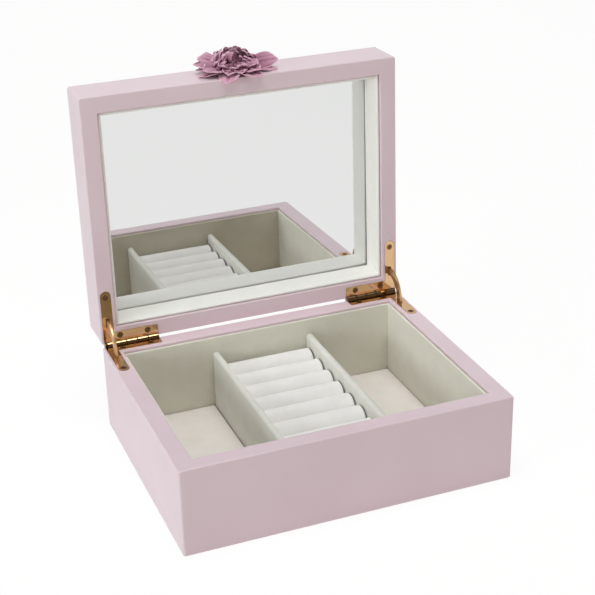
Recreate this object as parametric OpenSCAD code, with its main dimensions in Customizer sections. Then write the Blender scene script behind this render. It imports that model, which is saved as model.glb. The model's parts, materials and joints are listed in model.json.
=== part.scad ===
// Vanity box with a mirror in its lid: a lacquered wooden box on two quadrant hinges,
// lined with suede-covered card, with two trays, a bed of ring rolls and a flower as the lid's grip.
// Origin at the centre of the underside, +Z up, +X to the right and +Y towards the hinges.
// The lid is drawn open, leaning back against its stays.

/* [Box] */
// Width of the box, side to side
box_w = 230; // [215:1:270]
// Depth of the box, front to back
box_d = 180; // [165:1:215]
// Height of the base
base_h = 61.8; // [60:0.1:80]
// Height of the lid
lid_h = 33.7; // [32:0.1:45]
// Thickness of the four walls of base and lid
wall = 12; // [12:0.1:14]
// Radius of the upright outside corners
corner_r = 1.5; // [0.5:0.1:3]
// Thickness of the bottom board
bottom_t = 4; // [3:0.5:6]
// Thickness of the board across the top of the lid
top_t = 5.5; // [4:0.5:8]
// Gap left between the two rims when the lid is shut
rim_gap = 0.4; // [0.3:0.1:0.8]

/* [Lining] */
// Thickness of a lining card with its suede
lining_t = 2; // [1.5:0.1:3]
// Gap behind each lining card
lining_gap = 0.3; // [0.1:0.1:0.6]
// How far the linings stop short of the rims
lining_drop = 1.7; // [1:0.1:3]
// Gap where one lined piece stands against another
lined_gap = 0.3; // [0.1:0.1:0.6]
// Thickness of the floor pads
pad_t = 3; // [2:0.5:5]
// Thickness of the two dividers
divider_t = 5; // [4:0.2:6]
// Height of the dividers above the bottom board
divider_h = 45.5; // [40:0.5:52]
// Width of the bay between the two dividers
bay_w = 67.4; // [55:0.2:75]

/* [Ring rolls] */
// Diameter of one roll
roll_d = 18.4; // [15:0.2:21]
// Gap between neighbouring rolls
roll_gap = 0.2; // [0.1:0.1:0.6]
// Gap at each end of a roll
roll_end_gap = 1; // [0.5:0.1:2]
// How flat the underside of a roll is pressed
roll_flat = 1.6; // [0.8:0.1:3]
// Radius on the edges of a roll's ends
roll_edge_r = 1; // [0.5:0.1:2]
// Height of the block that carries the rolls
block_h = 21.5; // [12:0.5:24]

/* [Mirror] */
// Thickness of the mirror glass
mirror_t = 3; // [2:0.5:4]
// Gap round the edge of the mirror
mirror_gap = 0.5; // [0.3:0.1:1]
// Thickness of the card behind the mirror
mirror_card_t = 1.2; // [0.8:0.2:2]

/* [Hinges] */
// Angle between the rims when the lid is fully open
open_angle = 91.5; // [85:0.5:95]
// Distance of the pin behind the back face of the box
pin_out = 1; // [0.6:0.1:1.4]
// Thickness of a hinge leaf
leaf_t = 1.6; // [1.2:0.1:2]
// Distance of a hinge from the side of the box
hinge_inset = 1.9; // [1.5:0.1:2.5]
// Width of the leaf's arm along the side wall
arm_w = 7.4; // [7:0.1:8]
// Length of the arm from the pin to its round tip
arm_length = 41.3; // [36:0.1:48]
// Length of the leaf along the back wall, which is the barrel's length too
barrel_length = 39.7; // [34:0.1:46]
// How far the leaf reaches forward of the pin along the back wall
leaf_reach = 9.5; // [9:0.1:10]
// Radius on the free corner of the leaf
leaf_corner_r = 1.2; // [0.5:0.1:2]
// Gap round a leaf in its recess
leaf_gap = 0.2; // [0.1:0.05:0.4]
// Radius of the hinge barrel
barrel_r = 2.5; // [2.2:0.1:2.8]
// Number of knuckles in the barrel
knuckle_count = 5; // [3:2:7]
// Gap between neighbouring knuckles
knuckle_gap = 0.2; // [0.1:0.05:0.4]
// Gap between the barrel and the wood and leaf that it turns past
barrel_gap = 0.3; // [0.2:0.05:0.5]
// Radius of the hinge pin
pin_r = 1.2; // [1:0.1:1.5]
// Running clearance round the pin
pin_fit = 0.05; // [0.02:0.01:0.1]

/* [Lid stays] */
// Thickness of the curved stay
stay_t = 1.6; // [1.2:0.1:1.8]
// Inner radius of the stay, measured from the pin
stay_inner_r = 14.2; // [13.5:0.1:15]
// Outer radius of the stay, measured from the pin
stay_outer_r = 19.8; // [19:0.1:20.5]
// Width of the slot that the stay passes through
slot_w = 2.4; // [2.2:0.1:2.8]
// Gap at each end of that slot
slot_end_gap = 0.7; // [0.4:0.1:1]
// Radius of the round stop at each end of the stay
stop_r = 1.6; // [1.3:0.1:1.9]
// Length of the stop across the stay
stop_length = 4.8; // [4:0.1:5]
// Gap between a stop and the leaf that holds it when the lid is open
stop_gap = 0.2; // [0.1:0.05:0.4]
// Gap round the stay and its stops in the mortise
mortise_gap = 0.4; // [0.3:0.1:0.6]

/* [Screws] */
// Radius of a screw head
screw_head_r = 2.2; // [2:0.1:2.3]
// Height of the countersunk head
screw_head_h = 1.2; // [1:0.1:1.2]
// Radius of a screw's shank
screw_r = 1.1; // [0.9:0.1:1.2]
// Length of a screw
screw_length = 10; // [7:0.5:12]
// Clearance round a screw
screw_fit = 0.05; // [0.02:0.01:0.1]
// Distance of the arm's screw from the pin
arm_screw_y = 36.5; // [33:0.5:37]
// Distance of the back screws from the pin
back_screw_y = 6.5; // [6.2:0.1:7]
// Distance of the first back screw from the end of the barrel
back_screw_1 = 11.8; // [10.5:0.1:14]
// Distance of the second back screw from the end of the barrel
back_screw_2 = 32.1; // [28:0.1:32.5]

/* [Flower] */
// Diameter over the outer petals
flower_d = 57; // [48:1:62]
// Diameter over the middle petals
middle_d = 53; // [44:1:58]
// Thickness of the petals
petal_t = 0.9; // [0.7:0.1:1.2]
// Number of petals in each of the two outer layers
petal_count = 8; // [6:1:10]
// Half the width of an outer petal
petal_half_w = 9; // [7:0.2:10]
// Radius of the round hub that joins the petals of a layer
hub_r = 9; // [8:0.2:10]
// Thickness of the backing disc
backing_t = 1.2; // [0.8:0.1:2]
// Radius of the backing disc
backing_r = 13; // [10:0.5:15]
// Diameter over the inner ring of curls
inner_curls_d = 35; // [30:0.5:38]
// Diameter over the curls round the centre
centre_curls_d = 20; // [17:0.5:22]
// Number of curls in the inner ring
curl_count = 14; // [10:1:16]
// Number of curls round the centre
centre_curl_count = 9; // [6:1:10]
// Width of a curl in the inner ring
curl_w = 3; // [2:0.1:3.2]
// Width of a curl round the centre
centre_curl_w = 2.2; // [1.6:0.1:2.4]

/* [Hidden] */
$fn = 64;
// Overlap that lets a cut run clean through a face
cut = 1;

// Heights
rim_z = base_h;
pin_z = rim_z + rim_gap / 2;
lid_z = rim_z + rim_gap;
lid_wall_h = lid_h - top_t;
mirror_z = lid_z + lid_wall_h - mirror_card_t - mirror_t;

// Inside sizes
inner_w = box_w - 2 * wall;
inner_d = box_d - 2 * wall;
lined_inset = lining_gap + lining_t;
lined_w = inner_w - 2 * lined_inset;
lined_d = inner_d - 2 * lined_inset;
pin_y = box_d / 2 + pin_out;
divider_x = (bay_w + divider_t) / 2;
tray_w = (lined_w - bay_w) / 2 - divider_t;

// Ring rolls: as many as the bay holds, the first one up against the front lining
roll_pitch = roll_d + roll_gap;
roll_count = floor((lined_d - 2 * lined_gap + roll_gap) / roll_pitch);
roll_length = bay_w - 2 * roll_end_gap;
roll_z = bottom_t + block_h - roll_flat + roll_d / 2;
roll_y = -lined_d / 2 + lined_gap + roll_d / 2;

// Stay: its stops lie as far below each leaf as the stop's radius and gap ask for
stay_r = (stay_inner_r + stay_outer_r) / 2;
stop_depth = rim_gap / 2 + leaf_t + stop_gap + stop_r;
stay_half_angle = open_angle / 2 + asin(stop_depth / stay_r);
mortise_w = stop_length + 2 * mortise_gap;
mortise_near = stay_inner_r * cos(stay_half_angle) - mortise_gap;
mortise_far = stay_outer_r + slot_end_gap;
mortise_depth = stay_outer_r * sin(stay_half_angle) + mortise_gap + rim_gap;

// Knuckles
knuckle_pitch = barrel_length / knuckle_count;

// Flower: heights of its stacked layers above the lid's front face
outer_hub_z = backing_t;
middle_hub_z = outer_hub_z + petal_t;
curl_hub_z = middle_hub_z + petal_t;
curl_hub_h = 2.4;
centre_hub_h = 2.4;
// How far a petal's root reaches into its hub
root_lap = 2;
inner_hub_r = 6.5;
centre_hub_r = 4;
// Turn of the ring round the centre, so that its curls stand between those of the inner ring
centre_turn = 10;
// Turn of the first outer petal, and how far each petal's tip rises from its root
outer_turn = -15;
outer_rise = [1.6, 2.4, 2.4, 2.4, 1.6, 0.6, 0.6, 0.6];
middle_rise = [8, 7.5, 7, 7.5, 5.2, 3.6, 3.2, 4];
outer_cup = 1.1;
middle_cup = 2.4;
// Control points of a curl's centre line: distance from the axis, and height above its hub
curl_path = [[4, 1.8], [15, 2.4], [21, 11], [10.5, 9.5]];
centre_curl_path = [[2.5, 1.4], [10, 3], [12.5, 11], [3.5, 8.4]];
curl_steps = 6;

SIDES = ["front", "back", "left", "right"];

// Colours
lacquer = [0.86, 0.76, 0.79];
suede = [0.86, 0.85, 0.80];
roll_suede = [0.90, 0.89, 0.87];
brass = [0.83, 0.62, 0.38];
silvered = [0.78, 0.81, 0.82];
mauve = [0.72, 0.55, 0.62];

// Placing

// Turns what is drawn for the shut lid about the pins to the open position
module opened(angle = open_angle) {
    translate([0, pin_y, pin_z]) rotate([-angle, 0, 0]) translate([0, -pin_y, -pin_z]) children();
}

// Puts what is drawn in the left hinge's frame in place: x from the side of the box, y and z from the pin
module at_hinge(side) {
    mirror([side == "right" ? 1 : 0, 0, 0]) translate([-box_w / 2, pin_y, pin_z]) children();
}

// Both hinges
module at_hinges() {
    for (side = ["left", "right"]) at_hinge(side) children();
}

// Stands a flat outline of y and z upright, centred on x = 0 with the given thickness
module upright(thickness) {
    rotate([90, 0, 90]) translate([0, 0, -thickness / 2]) linear_extrude(thickness) children();
}

// Puts what is drawn above z = 0 on the front face of the shut lid
module on_lid_front() {
    translate([0, -box_d / 2, lid_z + lid_h / 2]) rotate([90, 0, 0]) children();
}

// Walls and boards

// The box's outline with its round upright corners
module box_outline() {
    square([box_w - 2 * corner_r, box_d], center = true);
    square([box_w, box_d - 2 * corner_r], center = true);
    for (x = [-1, 1], y = [-1, 1])
        translate([x * (box_w / 2 - corner_r), y * (box_d / 2 - corner_r)]) circle(corner_r);
}

// The share of the plan that belongs to one wall, up to the mitres at its ends
module wall_share(side) {
    long = (side == "front" || side == "back") ? box_w : box_d;
    deep = (side == "front" || side == "back") ? box_d : box_w;
    turn = side == "front" ? 0 : side == "right" ? 90 : side == "back" ? 180 : 270;
    rotate(turn)
        polygon([
            [-long / 2 - cut, -deep / 2 - cut],
            [long / 2 + cut, -deep / 2 - cut],
            [long / 2 - wall, -deep / 2 + wall],
            [-long / 2 + wall, -deep / 2 + wall]
        ]);
}

// One mitred wall of the given height, standing on z = 0
module mitred_wall(side, height) {
    linear_extrude(height)
        intersection() {
            difference() {
                box_outline();
                square([inner_w, inner_d], center = true);
            }
            wall_share(side);
        }
}

// What a hinge takes out of the wood below the pin: its leaf, barrel, mortise and screws
module hinge_cut() {
    translate([0, 0, -rim_gap / 2 - leaf_t]) linear_extrude(leaf_t + cut) leaf_outline(leaf_gap);
    translate([hinge_inset - leaf_gap, 0, 0]) rotate([0, 90, 0])
        cylinder(r = barrel_r + barrel_gap, h = barrel_length + 2 * leaf_gap);
    translate([hinge_inset + arm_w / 2 - mortise_w / 2, -mortise_far, -mortise_depth])
        cube([mortise_w, mortise_far - mortise_near, mortise_depth]);
    at_screws() translate([0, 0, -screw_length - screw_fit])
        cylinder(r = screw_r + screw_fit, h = screw_length + screw_fit);
}

module base_wall(side) {
    color(lacquer)
        difference() {
            mitred_wall(side, base_h);
            if (side != "front") at_hinges() hinge_cut();
        }
}

module lid_wall(side) {
    color(lacquer) opened()
        difference() {
            translate([0, 0, lid_z]) mitred_wall(side, lid_wall_h);
            if (side != "front") at_hinges() mirror([0, 0, 1]) hinge_cut();
        }
}

module base_bottom_board() {
    color(lacquer) translate([-inner_w / 2, -inner_d / 2, 0]) cube([inner_w, inner_d, bottom_t]);
}

module lid_top_board() {
    color(lacquer) opened() translate([0, 0, lid_z + lid_wall_h]) linear_extrude(top_t) box_outline();
}

// Linings, pads and dividers

// One lining card: those at front and back run the whole width, the side ones fit between them
module lining_card(side, z, height) {
    full = side == "front" || side == "back";
    length = full ? inner_w - 2 * lining_gap : lined_d - 2 * lined_gap;
    reach = (full ? inner_d : inner_w) / 2 - lining_gap;
    turn = side == "front" ? 0 : side == "right" ? 90 : side == "back" ? 180 : 270;
    rotate(turn) translate([-length / 2, -reach, z]) cube([length, lining_t, height]);
}

module base_lining(side) {
    color(suede) lining_card(side, bottom_t, base_h - lining_drop - bottom_t);
}

module lid_lining(side) {
    color(suede) opened() lining_card(side, lid_z + lining_drop, mirror_z - lid_z - lining_drop);
}

module floor_pad(side) {
    turn = side == "left" ? 1 : 0;
    color(suede) mirror([turn, 0, 0])
        translate([divider_x + divider_t / 2 + lined_gap, -lined_d / 2 + lined_gap, bottom_t])
            cube([tray_w - 2 * lined_gap, lined_d - 2 * lined_gap, pad_t]);
}

// A covered board with a round top edge
module divider(side) {
    length = lined_d - 2 * lined_gap;
    color(suede) translate([(side == "left" ? -1 : 1) * divider_x, -length / 2, bottom_t]) {
        translate([-divider_t / 2, 0, 0]) cube([divider_t, length, divider_h - divider_t / 2]);
        translate([0, 0, divider_h - divider_t / 2]) rotate([-90, 0, 0])
            cylinder(d = divider_t, h = length);
    }
}

// Ring rolls

module ring_roll_block() {
    width = bay_w - 2 * lined_gap;
    length = lined_d - 2 * lined_gap;
    color(suede) translate([-width / 2, -length / 2, bottom_t]) cube([width, length, block_h]);
}

// A padded roll with soft ends, pressed flat where it lies on its block
module ring_roll(number) {
    roll_r = roll_d / 2;
    color(roll_suede) translate([-roll_length / 2, roll_y + (number - 1) * roll_pitch, roll_z])
        difference() {
            rotate([0, 90, 0]) rotate_extrude() {
                square([roll_r - roll_edge_r, roll_length]);
                translate([0, roll_edge_r]) square([roll_r, roll_length - 2 * roll_edge_r]);
                for (z = [roll_edge_r, roll_length - roll_edge_r])
                    translate([roll_r - roll_edge_r, z]) circle(roll_edge_r);
            }
            translate([-cut, -roll_r, -roll_r - cut])
                cube([roll_length + 2 * cut, roll_d, roll_flat + cut]);
        }
}

// Hinges, drawn for the left side

// The L-shaped leaf from above, with its arm along the side wall
module leaf_outline(grow = 0) {
    tip_y = -arm_length + arm_w / 2;
    end_x = hinge_inset + barrel_length;
    translate([hinge_inset - grow, tip_y]) square([arm_w + 2 * grow, -tip_y]);
    translate([hinge_inset + arm_w / 2, tip_y]) circle(arm_w / 2 + grow);
    translate([hinge_inset - grow, -leaf_reach - grow])
        square([barrel_length - leaf_corner_r + grow, leaf_reach + grow]);
    translate([hinge_inset - grow, -leaf_reach + leaf_corner_r])
        square([barrel_length + 2 * grow, leaf_reach - leaf_corner_r]);
    translate([end_x - leaf_corner_r, -leaf_reach + leaf_corner_r]) circle(leaf_corner_r + grow);
}

// The three screw places of a leaf
module at_screws() {
    translate([hinge_inset + arm_w / 2, -arm_screw_y, 0]) children();
    for (x = [back_screw_1, back_screw_2]) translate([hinge_inset + x, -back_screw_y, 0]) children();
}

// A countersunk shape with its flat top at the level of the leaf's face
module countersunk(grow = 0) {
    translate([0, 0, -rim_gap / 2 - screw_head_h])
        cylinder(r1 = screw_r + grow, r2 = screw_head_r + grow, h = screw_head_h);
}

// Round solids along the barrel at every second knuckle, starting with the given one
module knuckles(first, radius, gap) {
    for (i = [first:2:knuckle_count - 1])
        translate([hinge_inset + i * knuckle_pitch + gap / 2, 0, 0]) rotate([0, 90, 0])
            cylinder(r = radius, h = knuckle_pitch - gap);
}

// A leaf lying just below the pin, with every second knuckle as its own
module hinge_leaf(first) {
    difference() {
        union() {
            difference() {
                translate([0, 0, -rim_gap / 2 - leaf_t]) linear_extrude(leaf_t) leaf_outline();
                knuckles(1 - first, barrel_r + barrel_gap, -knuckle_gap);
            }
            knuckles(first, barrel_r, knuckle_gap);
        }
        translate([hinge_inset - cut, 0, 0]) rotate([0, 90, 0])
            cylinder(r = pin_r + pin_fit, h = barrel_length + 2 * cut);
        translate([hinge_inset + (arm_w - slot_w) / 2, -stay_outer_r - slot_end_gap,
                   -rim_gap / 2 - leaf_t - cut])
            cube([slot_w, stay_outer_r - stay_inner_r + 2 * slot_end_gap, leaf_t + 2 * cut]);
        at_screws() {
            countersunk(screw_fit);
            translate([0, 0, -rim_gap / 2 - leaf_t - cut])
                cylinder(r = screw_r + screw_fit, h = leaf_t + cut);
        }
    }
}

module hinge_leaf_base(side) {
    color(brass) at_hinge(side) hinge_leaf(0);
}

module hinge_leaf_lid(side) {
    color(brass) opened() at_hinge(side) mirror([0, 0, 1]) hinge_leaf(1);
}

module hinge_pin(side) {
    color(brass) at_hinge(side) translate([hinge_inset, 0, 0]) rotate([0, 90, 0])
        cylinder(r = pin_r, h = barrel_length);
}

// A countersunk screw with a cross in its head
module screw() {
    cross_w = 0.6;
    cross_depth = 0.8;
    difference() {
        union() {
            countersunk();
            translate([0, 0, -screw_length]) cylinder(r = screw_r, h = screw_length - screw_head_h);
        }
        for (turn = [0, 90]) rotate(turn)
            translate([-screw_r, -cross_w / 2, -rim_gap / 2 - cross_depth])
                cube([2 * screw_r, cross_w, cross_depth + cut]);
    }
}

module base_hinge_screws() {
    color(brass) at_hinges() at_screws() screw();
}

module lid_hinge_screws() {
    color(brass) opened() at_hinges() mirror([0, 0, 1]) at_screws() screw();
}

// Stays

// The flat outline of a stay for the shut lid: an arc about the pin that points forward
module stay_arc() {
    far = 3 * stay_outer_r;
    intersection() {
        difference() {
            circle(stay_outer_r);
            circle(stay_inner_r);
        }
        polygon([
            [0, 0],
            [-far * cos(stay_half_angle), far * sin(stay_half_angle)],
            [-far * cos(stay_half_angle), -far * sin(stay_half_angle)]
        ]);
    }
}

// A curved stay, which keeps half way between base and lid, with a round stop at each end
module stay(side) {
    color(brass) opened(open_angle / 2) at_hinge(side) translate([hinge_inset + arm_w / 2, 0, 0]) {
        upright(stay_t) stay_arc();
        for (end = [-1, 1])
            upright(stop_length)
                translate([-stay_r * cos(stay_half_angle), end * stay_r * sin(stay_half_angle)])
                    circle(stop_r);
    }
}

// Mirror

module mirror_sheet(z, thickness) {
    width = inner_w - 2 * mirror_gap;
    depth = inner_d - 2 * mirror_gap;
    translate([-width / 2, -depth / 2, z]) cube([width, depth, thickness]);
}

module mirror_glass() {
    color(silvered) opened() mirror_sheet(mirror_z, mirror_t);
}

module mirror_backing_card() {
    color(suede) opened() mirror_sheet(mirror_z + mirror_t, mirror_card_t);
}

// Flower, drawn with its back on z = 0

// Width of a petal along its length, as a share of its widest place: narrow root, round tip
function petal_share(u) =
    u < 0.55 ? 0.5 + 0.5 * sin(90 * u / 0.55) : sqrt(max(0.08, 1 - pow((u - 0.55) / 0.47, 2)));

// A point of a petal's upper side: u runs from the hub's edge to the tip, v from edge to edge
function petal_point(u, v, length, half_w, root_z, rise, cup) =
    [hub_r + length * u, v * half_w * petal_share(u),
     root_z + rise * pow(u, 1.3) + cup * v * v * u * (1.6 - u)];

// Faces of a closed sheet whose upper and lower sides are grids of rows by columns
function sheet_faces(rows, columns) =
    let (n = rows * columns)
    concat(
        [for (i = [0:rows - 2], j = [0:columns - 2]) let (a = i * columns + j)
            for (f = [[a, a + 1, a + columns], [a + 1, a + columns + 1, a + columns]]) f],
        [for (i = [0:rows - 2], j = [0:columns - 2]) let (a = n + i * columns + j)
            for (f = [[a, a + columns, a + 1], [a + 1, a + columns, a + columns + 1]]) f],
        [for (i = [0:rows - 2]) let (a = i * columns, b = a + columns)
            for (f = [[a, b, n + b], [a, n + b, n + a]]) f],
        [for (i = [0:rows - 2]) let (a = i * columns + columns - 1, b = a + columns)
            for (f = [[b, a, n + a], [b, n + a, n + b]]) f],
        [for (j = [0:columns - 2]) for (f = [[j + 1, j, n + j], [j + 1, n + j, n + j + 1]]) f],
        [for (j = [0:columns - 2]) let (a = (rows - 1) * columns + j)
            for (f = [[a, a + 1, n + a + 1], [a, n + a + 1, n + a]]) f]
    );

// One petal, whose first row of points lies flat inside the hub
module petal(length, half_w, root_z, rise, cup) {
    steps = 6;
    edges = [-1, -0.5, 0, 0.5, 1];
    root = [for (v = edges) [hub_r - root_lap, v * half_w * petal_share(0), root_z]];
    blade = [for (i = [0:steps], v = edges)
        petal_point(i / steps, v, length, half_w, root_z, rise, cup)];
    top = concat(root, blade);
    bottom = [for (p = top) [p.x, p.y, p.z - petal_t]];
    polyhedron(concat(top, bottom), sheet_faces(steps + 2, len(edges)));
}

// A layer of petals cut from one piece, on a round hub
module petal_layer(diameter, hub_z, turn, rises, half_w, cup) {
    resize([diameter, diameter, 0])
        union() {
            translate([0, 0, hub_z]) cylinder(r = hub_r, h = petal_t, $fn = 32);
            for (i = [0:petal_count - 1])
                rotate(turn + i * 360 / petal_count)
                    petal(diameter / 2 - hub_r, half_w, hub_z + petal_t, rises[i % len(rises)], cup);
        }
}

module flower_backing_disc() {
    color(mauve) opened() on_lid_front() cylinder(r = backing_r, h = backing_t);
}

module flower_outer_petals() {
    color(mauve) opened() on_lid_front()
        petal_layer(flower_d, outer_hub_z, outer_turn, outer_rise, petal_half_w, outer_cup);
}

module flower_middle_petals() {
    color(mauve) opened() on_lid_front()
        petal_layer(middle_d, middle_hub_z, outer_turn + 180 / petal_count, middle_rise,
                    petal_half_w - 0.6, middle_cup);
}

// A point on a curl's centre line, and its direction there
function curl_point(p, t) =
    pow(1 - t, 3) * p[0] + 3 * pow(1 - t, 2) * t * p[1] + 3 * (1 - t) * t * t * p[2] + pow(t, 3) * p[3];
function curl_direction(p, t) =
    let (d = pow(1 - t, 2) * (p[1] - p[0]) + 2 * (1 - t) * t * (p[2] - p[1]) + t * t * (p[3] - p[2]))
    d / norm(d);

// A narrow strip of petal that stands up and rolls back towards the centre
module curl(path, hub_z, width) {
    stations = [for (i = [0:curl_steps]) i / curl_steps];
    upper = [for (t = stations, v = [-1, 1]) let (p = curl_point(path, t), d = curl_direction(path, t))
        [p.x - d.y * petal_t / 2, v * width / 2, hub_z + p.y + d.x * petal_t / 2]];
    lower = [for (t = stations, v = [-1, 1]) let (p = curl_point(path, t), d = curl_direction(path, t))
        [p.x + d.y * petal_t / 2, v * width / 2, hub_z + p.y - d.x * petal_t / 2]];
    polyhedron(concat(upper, lower), sheet_faces(curl_steps + 1, 2));
}

// A ring of curls on a round hub
module curl_ring(diameter, count, path, hub_z, hub_h, radius, width, turn) {
    resize([diameter, diameter, 0])
        union() {
            translate([0, 0, hub_z]) cylinder(r = radius, h = hub_h, $fn = 32);
            for (i = [0:count - 1]) rotate(turn + i * 360 / count) curl(path, hub_z, width);
        }
}

module flower_inner_curls() {
    color(mauve) opened() on_lid_front()
        curl_ring(inner_curls_d, curl_count, curl_path, curl_hub_z, curl_hub_h, inner_hub_r, curl_w, 0);
}

module flower_centre_curls() {
    color(mauve) opened() on_lid_front()
        curl_ring(centre_curls_d, centre_curl_count, centre_curl_path, curl_hub_z + curl_hub_h,
                  centre_hub_h, centre_hub_r, centre_curl_w, centre_turn);
}

// The pieces

for (s = SIDES) base_wall(s);
base_bottom_board();
for (s = SIDES) base_lining(s);
floor_pad("left");  // floor_pad_left
floor_pad("right");  // floor_pad_right
divider("left");  // divider_left
divider("right");  // divider_right
ring_roll_block();
for (i = [1:roll_count]) ring_roll(i);
hinge_leaf_base("left");  // hinge_leaf_base_left
hinge_leaf_base("right");  // hinge_leaf_base_right
hinge_pin("left");  // hinge_pin_left
hinge_pin("right");  // hinge_pin_right
base_hinge_screws();
lid_top_board();
for (s = SIDES) lid_wall(s);
for (s = SIDES) lid_lining(s);
mirror_glass();
mirror_backing_card();
hinge_leaf_lid("left");  // hinge_leaf_lid_left
hinge_leaf_lid("right");  // hinge_leaf_lid_right
lid_hinge_screws();
flower_backing_disc();
flower_outer_petals();
flower_middle_petals();
flower_inner_curls();
flower_centre_curls();
stay("left");  // stay_left
stay("right");  // stay_right
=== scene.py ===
"""The looks of the vanity box: lacquer, suede linings, ring rolls, brass hinges, mirror and flower."""
import json
import math
import random

import bmesh
import bpy
from mathutils import Matrix, Vector, noise


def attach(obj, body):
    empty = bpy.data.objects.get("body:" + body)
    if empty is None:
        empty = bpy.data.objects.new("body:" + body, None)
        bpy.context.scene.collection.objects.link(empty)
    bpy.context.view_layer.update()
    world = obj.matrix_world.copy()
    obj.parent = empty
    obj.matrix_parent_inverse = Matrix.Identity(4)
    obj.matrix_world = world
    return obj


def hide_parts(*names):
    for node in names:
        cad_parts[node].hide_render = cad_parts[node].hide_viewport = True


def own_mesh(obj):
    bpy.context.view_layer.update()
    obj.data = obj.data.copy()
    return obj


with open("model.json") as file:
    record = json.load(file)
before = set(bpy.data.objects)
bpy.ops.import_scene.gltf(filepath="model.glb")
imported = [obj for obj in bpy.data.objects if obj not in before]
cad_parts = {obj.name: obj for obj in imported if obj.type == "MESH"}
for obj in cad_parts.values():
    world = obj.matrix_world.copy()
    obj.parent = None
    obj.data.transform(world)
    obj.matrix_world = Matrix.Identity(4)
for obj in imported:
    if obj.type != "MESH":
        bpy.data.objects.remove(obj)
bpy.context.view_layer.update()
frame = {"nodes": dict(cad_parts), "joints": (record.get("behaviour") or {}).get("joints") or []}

MM = 0.001

# Camera, in metres
CAMERA_PLACE = (-0.3096, -0.8049, 0.5219)
CAMERA_FORWARD = (0.3243, 0.8452, -0.4247)
CAMERA_RIGHT = (0.9296, -0.368, -0.0226)
LENS = 86.7

# Sizes in millimetres that the frame's boxes don't give, as in the part's source
CORNER_R = 1.5
INNER_CORNER_R = 0.5
LEAF_T = 1.6
ARM_W = 7.4
LEAF_REACH = 9.5
LEAF_CORNER_R = 1.2
LEAF_GAP = 0.2
BARREL_GAP = 0.3
KNUCKLES = 5
MORTISE_W = 5.6
MORTISE_NEAR = 7.0
MORTISE_FAR = 20.6
MORTISE_DEPTH = 17.8

# Rounded edges in millimetres
OUTER_EDGE_R = 0.8
RIM_EDGE_R = 0.9
LEAF_EDGE_R = 0.3
PIN_EDGE_R = 0.2
SCREW_EDGE_R = 0.1
DISC_EDGE_R = 0.3
GLASS_EDGE_R = 0.35
CARD_EDGE_R = 0.9
DIVIDER_EDGE_R = 2.3
BLOCK_EDGE_R = 1.2
PAD_EDGE_R = 1.1
ROLL_EDGE_R = 1.5

# Suede covers in millimetres: the depth and size of a card's waves, and how far the side cards run into
# the front and back ones. The lid's cards stop short of the mirror, and the base's left card sits low.
CARD_WAVE = 0.12
CARD_WAVE_SIZE = 18
CARD_CELL = 7
CARD_RUN = 1
MIRROR_GAP = 0.9
LEFT_CARD_DROP = 1.5
PAD_CROWN = 0.8
PAD_WAVE = 0.35
PAD_WAVE_SIZE = 22
PAD_CELL = 4
MIRROR_CELL = 50
# How far in from a roll's rim the painted shade on its flat ends begins
END_SHADE_INSET = 0.9
PILE_DEPTH = 0.03

# How many flat steps round an outline's corner, a rounded edge, a hinge barrel's groove and a ring roll, and
# how many stretches a roll has along its length
CORNER_STEPS = 6
EDGE_STEPS = 5
BARREL_STEPS = 48
ROLL_STEPS = 56
ROLL_STRETCHES = 22

# Painted shade and tarnish on the hinge barrels: the distance from the pin at which both start to fade and
# are gone, and for the tarnish the same from the gap between two knuckles, in millimetres. The last of these
# is how dark the painted shade in the crease in front of a barrel is, at shares of a turn round the pin that
# starts at the front and goes underneath first.
SHADE_AND_TARNISH_R = (2.55, 2.8)
KNUCKLE_END = (0.3, 0.6)
CREASE_SHADE = ((0.0, 1), (0.1, 0), (0.86, 0), (0.92, 1))

# How far the mirror sits out of true in its seat, in degrees, as its reflection shows
MIRROR_PITCH = 0.3
MIRROR_YAW = -0.1

# Flower, in millimetres, with heights above the lid's face and angles from +X towards the lid's top.
# A petal is its angle, reach, half width, height at the tip, roll in degrees, cup and how round its tip is.
PETAL_ROOT_R = 4
PETAL_T = 0.5
OUTER_Z = 1.8
OUTER_PETALS = (
    (-15, 30.0, 7.6, 0.9, 0, 1.0, 0.6),
    (30, 28.5, 8.6, 3.2, 0, 1.2, 0.6),
    (75, 28.0, 8.6, 3.4, 0, 1.2, 0.6),
    (120, 28.5, 8.6, 4.0, 0, 1.2, 0.6),
    (165, 27.0, 8.0, 3.2, 0, 1.2, 0.6),
    (193, 28.8, 7.4, 1.6, 0, 0.8, 0.7),
    (292, 28.0, 7.8, 0.9, 0, 0.8, 0.7),
)
DROOPING_PETAL = (239, 26.8, 7.6, 1.0, 0, 0.6, 0.8)
DROOP = 2.2
MIDDLE_Z = 3.3
MIDDLE_PETALS = (
    (-6, 31.0, 7.0, 6.6, 46, 1.4, 0.5),
    (42, 26.5, 8.0, 5.6, 6, 1.6, 0.6),
    (96, 25.5, 8.0, 8.5, 0, 2.0, 0.6),
    (143, 26.5, 8.4, 8.8, -14, 0.8, 0.1),
    (171, 29.0, 6.2, 6.8, -16, 1.4, 0.8),
    (203, 27.5, 8.8, 6.0, -14, 3.4, 0.7),
    (240, 23.0, 5.8, 3.4, -6, 1.6, 0.85),
    (267, 20.5, 5.6, 3.6, 8, 1.2, 0.85),
    (300, 24.5, 7.0, 4.2, 6, 0.8, 0.96),
)
SHORT_PETALS = (
    (256, 17.0, 4.6, 6.6, 10, 1.4, 0.9),
    (310, 20.0, 5.0, 8.2, 18, 1.6, 0.85),
    (216, 18.5, 4.8, 8.0, -14, 1.6, 0.85),
    (286, 16.5, 4.4, 7.6, -14, 1.2, 0.96),
)
# A ring of curls is its count, first angle, width, root radius, widest radius, crest height and inner radius
CURL_RINGS = (
    (24, 0, 4.0, 6.5, 16.2, 9.0, 13.6),
    (22, 9, 3.8, 5.5, 13.8, 12.0, 10.2),
    (17, 3, 3.6, 4.2, 10.6, 14.4, 6.6),
)
CENTRE_RING = (9, 20, 3.0, 2.0, 6.0, 13.6, 3.2)
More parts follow.
